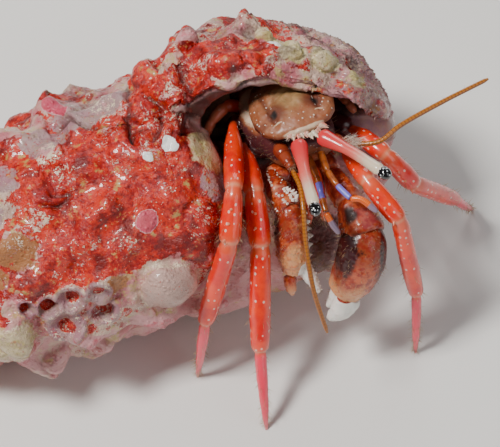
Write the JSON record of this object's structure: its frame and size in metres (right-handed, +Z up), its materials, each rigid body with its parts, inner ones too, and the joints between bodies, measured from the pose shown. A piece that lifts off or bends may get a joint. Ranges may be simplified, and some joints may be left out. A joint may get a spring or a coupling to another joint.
{
  "type": "hermit crab in encrusted snail shell",
  "caption": "Life-size still model of a hermit crab leaning out of a worn, encrusted spindle snail shell, walking legs and claws folded down to the ground.",
  "frame": {"origin": "centre of the bounding box in plan, on the floor the model stands on", "axes": "+X along the longest extent, from the shell's apex towards its canal end; -Y the way the crab faces; +Z up"},
  "size_m": [0.0572, 0.034, 0.0269],
  "materials": {
    "encrusted_shell": "wet, rough and mottled",
    "shield": "smooth, wet",
    "body": "soft, wet",
    "soft_abdomen": "soft, wet",
    "cornea": "glossy",
    "eyestalk": "smooth, glossy",
    "claw_finger": "chalky white",
    "claw": "smooth, mottled",
    "leg_tip": "smooth",
    "leg": "smooth, glossy, white-dotted",
    "feeler": "smooth",
    "mouthpart": "bristly"
  },
  "bodies": {
    "root": {"abdomen": "soft_abdomen", "antenna_left_base": "feeler", "antenna_left_flagellum": "feeler", "antenna_right_base": "feeler", "antenna_right_flagellum": "feeler", "antennule_left_flagellum": "feeler", "antennule_left_peduncle": "feeler", "antennule_right_flagellum": "feeler", "antennule_right_peduncle": "feeler", "carapace_shield": "shield", "cephalothorax": "body", "cheliped_left_carpus": "claw", "cheliped_left_dactyl": "claw_finger", "cheliped_left_merus": "claw", "cheliped_left_merus_base": "claw", "cheliped_left_palm": "claw", "cheliped_right_carpus": "claw", "cheliped_right_dactyl": "claw_finger", "cheliped_right_merus": "claw", "cheliped_right_merus_base": "claw", "cheliped_right_palm": "claw", "eye_left": "cornea", "eye_right": "cornea", "eyestalk_left": "eyestalk", "eyestalk_right": "eyestalk", "gastropod_shell": "encrusted_shell", "leg2_left_carpus": "leg", "leg2_left_coxa": "leg", "leg2_left_dactyl": "leg_tip", "leg2_left_merus": "leg", "leg2_left_propodus": "leg", "leg2_right_carpus": "leg", "leg2_right_coxa": "leg", "leg2_right_dactyl": "leg_tip", "leg2_right_merus": "leg", "leg2_right_propodus": "leg", "leg3_left_carpus": "leg", "leg3_left_coxa": "leg", "leg3_left_dactyl": "leg_tip", "leg3_left_merus": "leg", "leg3_left_propodus": "leg", "leg3_right_carpus": "leg", "leg3_right_coxa": "leg", "leg3_right_dactyl": "leg_tip", "leg3_right_merus": "leg", "leg3_right_propodus": "leg", "leg4_left": "leg", "leg4_right": "leg", "leg5_left": "leg", "leg5_right": "leg", "maxilliped_left": "mouthpart", "maxilliped_right": "mouthpart"}
  },
  "joints": []
}
